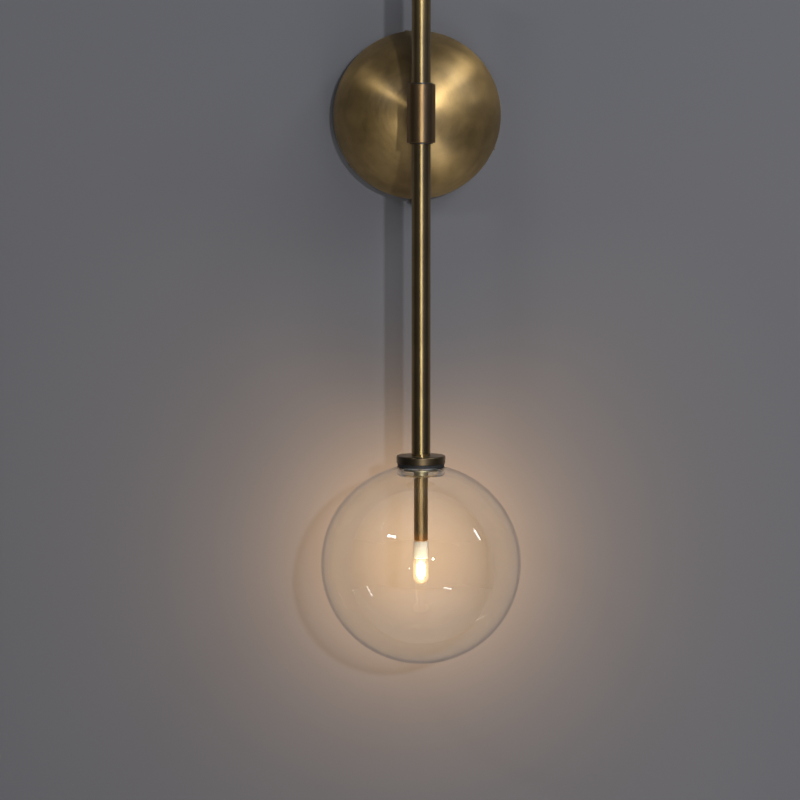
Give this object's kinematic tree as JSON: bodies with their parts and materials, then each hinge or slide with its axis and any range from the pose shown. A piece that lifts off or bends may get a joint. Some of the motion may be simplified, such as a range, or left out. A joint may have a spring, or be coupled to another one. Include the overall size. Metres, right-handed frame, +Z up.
{
  "type": "wall sconce",
  "caption": "Wall sconce: a domed backplate and short arm hold a sleeve, in which a slender rod stands upright; a clear glass globe with a capsule lamp hangs from its lower end.",
  "frame": {"origin": "centre of the wall bracket's back face, where it lies on the wall", "axes": "+Z up along the rod, -Y out of the wall, +X to the right as seen from the front"},
  "size_m": [0.18, 0.19, 0.643],
  "materials": {
    "satin_brass": "satin, brushed, aged",
    "bright_brass": "turned",
    "brass_screws": "dark satin",
    "zinc_steel": "zinc plated",
    "tinned_lug": "tinned",
    "pin_wire": "drawn wire",
    "black_rubber": "matte",
    "black_nylon": "moulded",
    "driver_case": "moulded",
    "block_plastic": "moulded",
    "switch_plastic": "moulded",
    "earth_insulation": "extruded",
    "mains_insulation": "extruded",
    "lamp_insulation": "extruded",
    "clear_glass": "clear, blown",
    "bulb_glass": "clear, drawn",
    "holder_ceramic": "fired, matte",
    "base_ceramic": "fired, matte",
    "glowing_core": "lit"
  },
  "bodies": {
    "wall_unit": {"wall_bracket": "zinc_steel", "backplate": "satin_brass", "canopy_set_screws": "brass_screws", "driver": "driver_case", "bracket_screws": "zinc_steel", "terminal_block": "block_plastic", "terminal_clamp_screws": "zinc_steel", "earth_lug": "tinned_lug", "earth_screw": "zinc_steel", "earth_lead": "earth_insulation", "mains_leads": "mains_insulation", "arm_nipple": "zinc_steel", "arm_washer": "zinc_steel", "arm_locknut": "zinc_steel", "standoff_arm": "satin_brass", "clamp_sleeve": "satin_brass", "upper_sleeve_bush": "black_nylon", "lower_sleeve_bush": "black_nylon", "sleeve_grub_screw": "brass_screws", "arm_leads": "lamp_insulation", "switch_body": "switch_plastic", "switch_collar": "satin_brass"},
    "button": {"switch_button": "switch_plastic"},
    "rod": {"rod": "satin_brass", "rod_top_cap": "satin_brass", "rod_insert": "zinc_steel", "lower_nipple": "zinc_steel", "glass_cap": "satin_brass", "grip_ring": "black_rubber", "ring_retainer": "bright_brass", "stem_locknut": "bright_brass", "stem": "satin_brass", "lampholder": "holder_ceramic", "holder_contacts": "tinned_lug", "slack_leads": "lamp_insulation", "lamp_leads": "lamp_insulation"},
    "globe": {"globe_lower": "clear_glass", "globe_upper": "clear_glass", "globe_collar": "clear_glass"},
    "bulb": {"bulb_glass": "bulb_glass", "bulb_base": "base_ceramic", "bulb_pins": "pin_wire", "led_core": "glowing_core", "core_wires": "pin_wire"}
  },
  "joints": [
    {"name": "rod_slide", "type": "slide", "parent": "wall_unit", "child": "rod", "axis": [0, 0, 1], "range_m": [-0.012, 0.012], "deforming": ["slack_leads"]},
    {"name": "button_press", "type": "slide", "parent": "wall_unit", "child": "button", "axis": [0, 0, 1], "range_m": [0, 0.002], "stiffness_N_per_m": 600, "springref_m": -0.001},
    {"name": "globe_release", "type": "slide", "parent": "rod", "child": "globe", "axis": [0, 0, -1], "range_m": [0, 0.12]},
    {"name": "bulb_pull", "type": "slide", "parent": "rod", "child": "bulb", "axis": [0, 0, -1], "range_m": [0, 0.01]}
  ]
}
